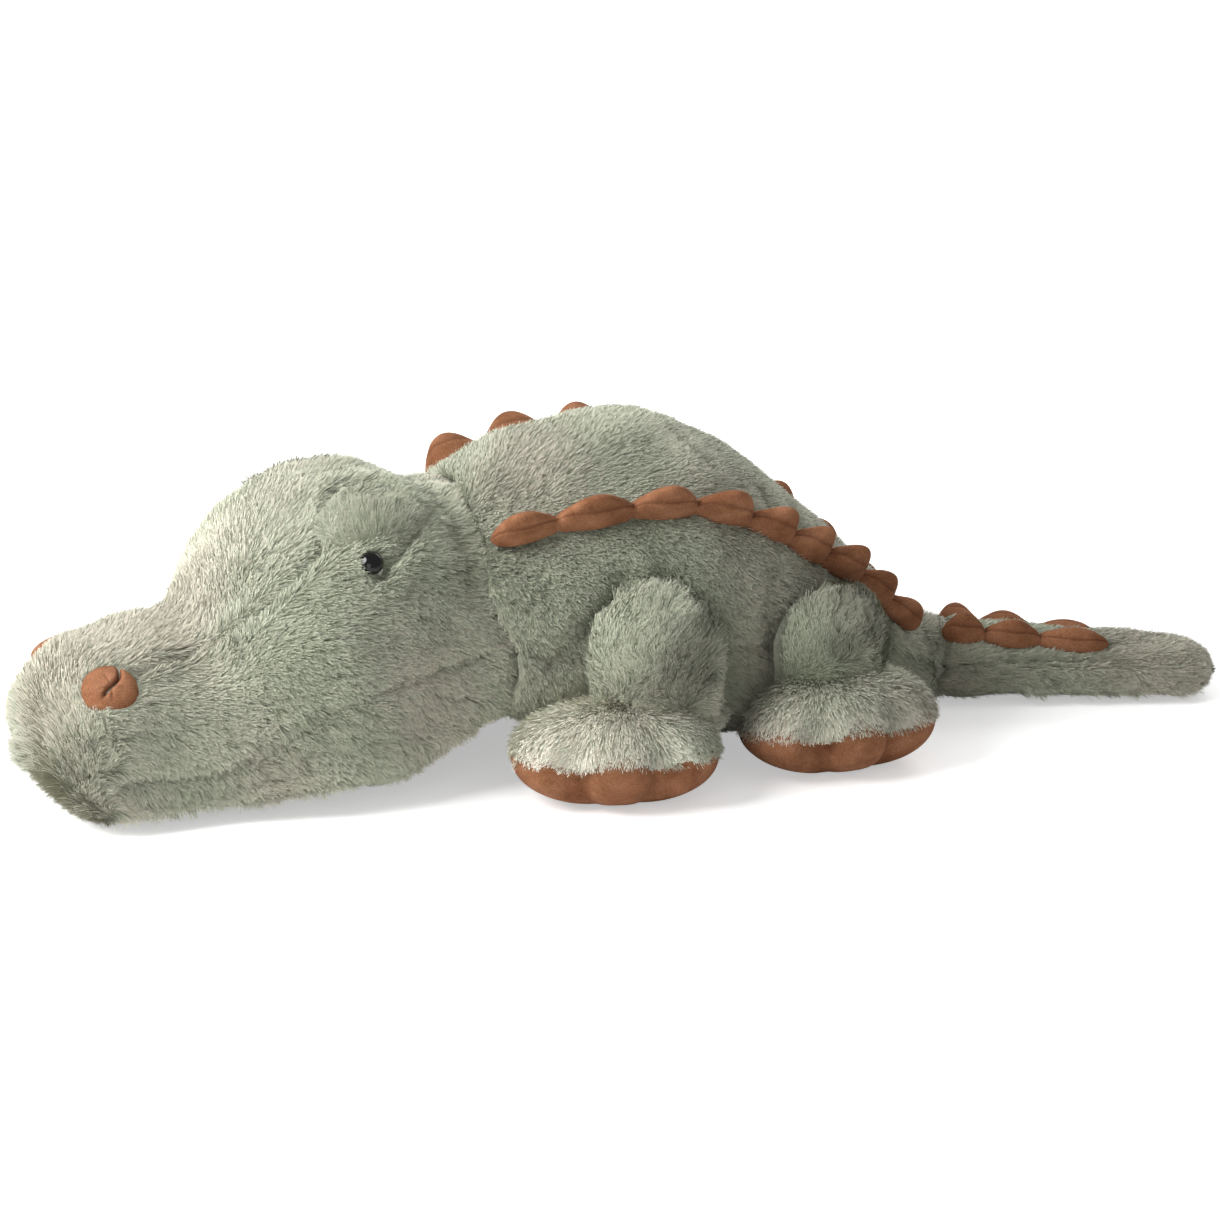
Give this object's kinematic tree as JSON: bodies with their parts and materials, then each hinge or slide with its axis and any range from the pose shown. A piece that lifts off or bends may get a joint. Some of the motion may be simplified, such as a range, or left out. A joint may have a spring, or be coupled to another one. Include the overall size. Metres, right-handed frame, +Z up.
{
  "type": "plush crocodile",
  "caption": "Large stuffed crocodile toy in long sage fur, lying on its belly and chin, with two strips of puffed suede spikes along the back, suede soles and nostrils, and button eyes.",
  "frame": {"origin": "middle of the flat underside of the belly, on the surface that the toy lies on", "axes": "+X from the head toward the tail, +Y toward the toy's right side, +Z up"},
  "size_m": [0.8422, 0.3662, 0.2204],
  "materials": {
    "sage_fur": "long pile",
    "pale_paw_fur": "long pile",
    "rust_suede": "napped",
    "black_gloss": "polished",
    "white_plastic": "matte"
  },
  "bodies": {
    "body": {"body": "sage_fur", "ridge_body_left": "rust_suede", "ridge_body_right": "rust_suede"},
    "head": {"head": "sage_fur", "eyelid_left": "sage_fur", "eyelid_right": "sage_fur", "eye_left": "black_gloss", "eye_right": "black_gloss", "washer_left": "white_plastic", "washer_right": "white_plastic", "nostril_left": "rust_suede", "nostril_right": "rust_suede"},
    "tail": {"tail": "sage_fur", "ridge_tail_left": "rust_suede", "ridge_tail_right": "rust_suede"},
    "leg_front_left": {"leg_front_left": "sage_fur", "paw_front_left": "pale_paw_fur", "sole_front_left": "rust_suede"},
    "leg_front_right": {"leg_front_right": "sage_fur", "paw_front_right": "pale_paw_fur", "sole_front_right": "rust_suede"},
    "leg_rear_left": {"leg_rear_left": "sage_fur", "paw_rear_left": "pale_paw_fur", "sole_rear_left": "rust_suede"},
    "leg_rear_right": {"leg_rear_right": "sage_fur", "paw_rear_right": "pale_paw_fur", "sole_rear_right": "rust_suede"}
  },
  "joints": [
    {"name": "neck_turn", "type": "hinge", "parent": "body", "child": "head", "pos_m": [-0.17, 0, 0.09], "axis": [0, 0, 1], "range_deg": [-30, 7.5], "stiffness_Nm_per_rad": 0.6},
    {"name": "tail_swing", "type": "hinge", "parent": "body", "child": "tail", "pos_m": [0.19, 0, 0.03], "axis": [0, 0, 1], "range_deg": [-5, 35], "stiffness_Nm_per_rad": 0.15},
    {"name": "leg_front_left_lift", "type": "hinge", "parent": "body", "child": "leg_front_left", "pos_m": [-0.038, -0.1137, 0.14], "axis": [-1, 0, 0], "range_deg": [0, 25], "stiffness_Nm_per_rad": 2},
    {"name": "leg_front_right_lift", "type": "hinge", "parent": "body", "child": "leg_front_right", "pos_m": [-0.038, 0.1137, 0.14], "axis": [1, 0, 0], "range_deg": [0, 25], "stiffness_Nm_per_rad": 2},
    {"name": "leg_rear_left_lift", "type": "hinge", "parent": "body", "child": "leg_rear_left", "pos_m": [0.087, -0.0895, 0.12], "axis": [-1, 0, 0], "range_deg": [0, 25], "stiffness_Nm_per_rad": 2},
    {"name": "leg_rear_right_lift", "type": "hinge", "parent": "body", "child": "leg_rear_right", "pos_m": [0.087, 0.0895, 0.12], "axis": [1, 0, 0], "range_deg": [0, 25], "stiffness_Nm_per_rad": 2}
  ]
}
